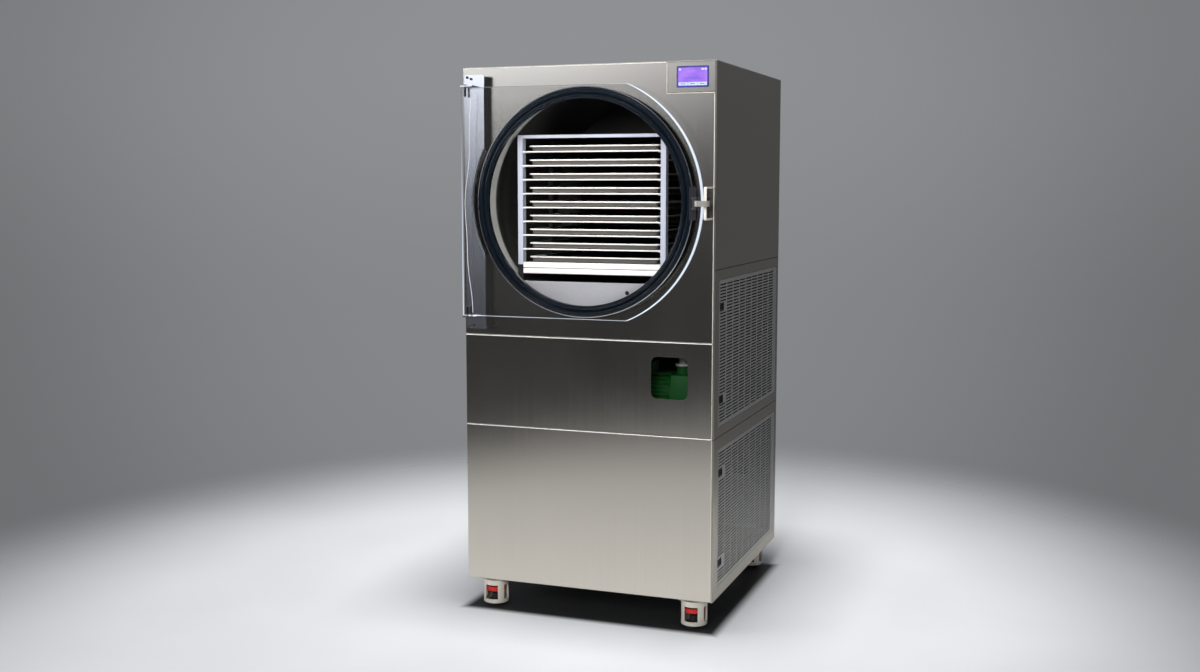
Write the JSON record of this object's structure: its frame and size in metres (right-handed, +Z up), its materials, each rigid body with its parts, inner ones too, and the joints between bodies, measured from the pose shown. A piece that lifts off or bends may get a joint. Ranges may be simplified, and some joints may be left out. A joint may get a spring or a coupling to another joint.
{
  "type": "freeze dryer",
  "caption": "Upright steel freeze dryer on levelling casters with a round vacuum chamber, clear hinged door, tray rack, display, window and vented side doors.",
  "frame": {"origin": "on the floor, at the middle of the whole part's width and depth", "axes": "+Z up; the door side faces -Y; +X is to the right of someone facing the door"},
  "size_m": [0.845, 1.032, 1.78],
  "materials": {
    "panel_steel": "fine upright brushing, slightly warm grey",
    "side_steel": "fine brushing, darker grey",
    "frame_steel": "plain mill finish",
    "drum_steel": "smooth satin inside",
    "bracket_steel": "fine satin",
    "polished_steel": "bright polished bar",
    "rack_alloy": "satin anodised, cool grey",
    "tray_steel": "bright satin, slightly warm",
    "gasket_rubber": "smooth, slightly glossy",
    "foam_black": "closed-cell foam",
    "clear_acrylic": "clear polished cast sheet",
    "black_plastic": "fine grain",
    "screw_black": "black oxide",
    "screen_glass": "glossy lit display",
    "pump_green": "gloss enamel",
    "hose_grey": "satin tube",
    "line_foam": "pale pipe insulation",
    "compressor_black": "gloss enamel",
    "fin_alloy": "plain fins, black shroud behind",
    "valve_brass": "plain",
    "lever_red": "dipped sleeve",
    "caster_ivory": "smooth enamel on a casting",
    "wheel_black": "moulded nylon",
    "nut_red": "moulded",
    "pad_rubber": "moulded"
  },
  "bodies": {
    "cabinet": {"cabinet_frame": "frame_steel", "deck_plates": "frame_steel", "top_cover": "panel_steel", "left_panels": "side_steel", "right_panels": "side_steel", "back_panel": "side_steel", "upper_front_panel": "panel_steel", "middle_front_panel": "panel_steel", "lower_front_panel": "panel_steel", "control_fascia": "panel_steel", "display_screen": "screen_glass", "chamber": "drum_steel", "insulation_jacket": "foam_black", "door_gasket": "gasket_rubber", "hinge_bracket": "bracket_steel", "pins_and_screws": "screw_black", "strike_loop": "polished_steel", "rack_frame": "rack_alloy", "rack_shelves": "tray_steel", "rack_runners": "black_plastic", "trays": "tray_steel", "vacuum_pump": "pump_green", "vacuum_hose": "hose_grey", "coolant_lines": "line_foam", "compressor": "compressor_black", "condenser": "fin_alloy", "power_inlet": "black_plastic", "drain_valve": "valve_brass", "caster_plates": "caster_ivory"},
    "door": {"door_panel": "clear_acrylic", "latch_plate": "black_plastic", "latch_base": "polished_steel"},
    "hook": {"latch_hook": "polished_steel"},
    "upper_vent": {"upper_vent_door": "side_steel", "upper_latch_cups": "black_plastic"},
    "lower_vent": {"lower_vent_door": "side_steel", "lower_latch_cups": "black_plastic"},
    "slide_upper_high": {"slide_upper_high": "black_plastic"},
    "slide_upper_low": {"slide_upper_low": "black_plastic"},
    "slide_lower_high": {"slide_lower_high": "black_plastic"},
    "slide_lower_low": {"slide_lower_low": "black_plastic"},
    "fan": {"fan_rotor": "black_plastic"},
    "lever": {"drain_lever": "lever_red"},
    "rocker": {"power_switch": "lever_red"},
    "swivel_fl": {"housing_fl": "caster_ivory"},
    "roller_fl": {"wheel_fl": "wheel_black"},
    "dial_fl": {"nut_fl": "nut_red"},
    "foot_fl": {"pad_fl": "pad_rubber"},
    "swivel_fr": {"housing_fr": "caster_ivory"},
    "roller_fr": {"wheel_fr": "wheel_black"},
    "dial_fr": {"nut_fr": "nut_red"},
    "foot_fr": {"pad_fr": "pad_rubber"},
    "swivel_rl": {"housing_rl": "caster_ivory"},
    "roller_rl": {"wheel_rl": "wheel_black"},
    "dial_rl": {"nut_rl": "nut_red"},
    "foot_rl": {"pad_rl": "pad_rubber"},
    "swivel_rr": {"housing_rr": "caster_ivory"},
    "roller_rr": {"wheel_rr": "wheel_black"},
    "dial_rr": {"nut_rr": "nut_red"},
    "foot_rr": {"pad_rr": "pad_rubber"}
  },
  "joints": [
    {"name": "door_hinge", "type": "hinge", "parent": "cabinet", "child": "door", "pos_m": [-0.3925, -0.4642, 1.35], "axis": [0, 0, -1], "range_deg": [0, 115]},
    {"name": "hook_pivot", "type": "hinge", "parent": "door", "child": "hook", "pos_m": [0.383, -0.48895, 1.35], "axis": [0, 0, 1], "range_deg": [-60, 38]},
    {"name": "upper_vent_hinge", "type": "hinge", "parent": "cabinet", "child": "upper_vent", "pos_m": [0.4165, 0.41005, 0.8815], "axis": [0, 0, 1], "range_deg": [0, 110]},
    {"name": "lower_vent_hinge", "type": "hinge", "parent": "cabinet", "child": "lower_vent", "pos_m": [0.4165, 0.41005, 0.359], "axis": [0, 0, 1], "range_deg": [0, 110]},
    {"name": "slide_upper_high_travel", "type": "slide", "parent": "upper_vent", "child": "slide_upper_high", "axis": [0, -1, 0], "range_m": [0, 0.01]},
    {"name": "slide_upper_low_travel", "type": "slide", "parent": "upper_vent", "child": "slide_upper_low", "axis": [0, -1, 0], "range_m": [0, 0.01]},
    {"name": "slide_lower_high_travel", "type": "slide", "parent": "lower_vent", "child": "slide_lower_high", "axis": [0, -1, 0], "range_m": [0, 0.01]},
    {"name": "slide_lower_low_travel", "type": "slide", "parent": "lower_vent", "child": "slide_lower_low", "axis": [0, -1, 0], "range_m": [0, 0.01]},
    {"name": "fan_spin", "type": "hinge", "parent": "cabinet", "child": "fan", "pos_m": [-0.1025, 0.31025, 0.362], "axis": [0, 1, 0], "continuous": true},
    {"name": "drain_turn", "type": "hinge", "parent": "cabinet", "child": "lever", "pos_m": [0, 0.46505, 0.887], "axis": [0, 0, 1], "range_deg": [-90, 0]},
    {"name": "rocker_tilt", "type": "hinge", "parent": "cabinet", "child": "rocker", "pos_m": [0.2975, 0.43605, 0.4], "axis": [1, 0, 0], "range_deg": [-16, 0]},
    {"name": "swivel_turn_fl", "type": "hinge", "parent": "cabinet", "child": "swivel_fl", "pos_m": [-0.3475, -0.35795, 0.08], "axis": [0, 0, 1], "continuous": true},
    {"name": "roller_spin_fl", "type": "hinge", "parent": "swivel_fl", "child": "roller_fl", "pos_m": [-0.3475, -0.30595, 0.027], "axis": [1, 0, 0], "continuous": true},
    {"name": "dial_turn_fl", "type": "hinge", "parent": "swivel_fl", "child": "dial_fl", "pos_m": [-0.3475, -0.35795, 0.057], "axis": [0, 0, 1], "range_deg": [-720, 1440]},
    {"name": "foot_lift_fl", "type": "slide", "parent": "swivel_fl", "child": "foot_fl", "axis": [0, 0, 1], "range_m": [-0.004, 0.008]},
    {"name": "swivel_turn_fr", "type": "hinge", "parent": "cabinet", "child": "swivel_fr", "pos_m": [0.3475, -0.35795, 0.08], "axis": [0, 0, 1], "continuous": true},
    {"name": "roller_spin_fr", "type": "hinge", "parent": "swivel_fr", "child": "roller_fr", "pos_m": [0.3475, -0.30595, 0.027], "axis": [1, 0, 0], "continuous": true},
    {"name": "dial_turn_fr", "type": "hinge", "parent": "swivel_fr", "child": "dial_fr", "pos_m": [0.3475, -0.35795, 0.057], "axis": [0, 0, 1], "range_deg": [-720, 1440]},
    {"name": "foot_lift_fr", "type": "slide", "parent": "swivel_fr", "child": "foot_fr", "axis": [0, 0, 1], "range_m": [-0.004, 0.008]},
    {"name": "swivel_turn_rl", "type": "hinge", "parent": "cabinet", "child": "swivel_rl", "pos_m": [-0.3475, 0.38405, 0.08], "axis": [0, 0, 1], "continuous": true},
    {"name": "roller_spin_rl", "type": "hinge", "parent": "swivel_rl", "child": "roller_rl", "pos_m": [-0.3475, 0.43605, 0.027], "axis": [1, 0, 0], "continuous": true},
    {"name": "dial_turn_rl", "type": "hinge", "parent": "swivel_rl", "child": "dial_rl", "pos_m": [-0.3475, 0.38405, 0.057], "axis": [0, 0, 1], "range_deg": [-720, 1440]},
    {"name": "foot_lift_rl", "type": "slide", "parent": "swivel_rl", "child": "foot_rl", "axis": [0, 0, 1], "range_m": [-0.004, 0.008]},
    {"name": "swivel_turn_rr", "type": "hinge", "parent": "cabinet", "child": "swivel_rr", "pos_m": [0.3475, 0.38405, 0.08], "axis": [0, 0, 1], "continuous": true},
    {"name": "roller_spin_rr", "type": "hinge", "parent": "swivel_rr", "child": "roller_rr", "pos_m": [0.3475, 0.43605, 0.027], "axis": [1, 0, 0], "continuous": true},
    {"name": "dial_turn_rr", "type": "hinge", "parent": "swivel_rr", "child": "dial_rr", "pos_m": [0.3475, 0.38405, 0.057], "axis": [0, 0, 1], "range_deg": [-720, 1440]},
    {"name": "foot_lift_rr", "type": "slide", "parent": "swivel_rr", "child": "foot_rr", "axis": [0, 0, 1], "range_m": [-0.004, 0.008]}
  ],
  "couplings": [
    {"joint": "dial_turn_fl", "follows": "foot_lift_fl", "rad_per_m": 3141.6},
    {"joint": "dial_turn_fr", "follows": "foot_lift_fr", "rad_per_m": 3141.6},
    {"joint": "dial_turn_rl", "follows": "foot_lift_rl", "rad_per_m": 3141.6},
    {"joint": "dial_turn_rr", "follows": "foot_lift_rr", "rad_per_m": 3141.6}
  ]
}
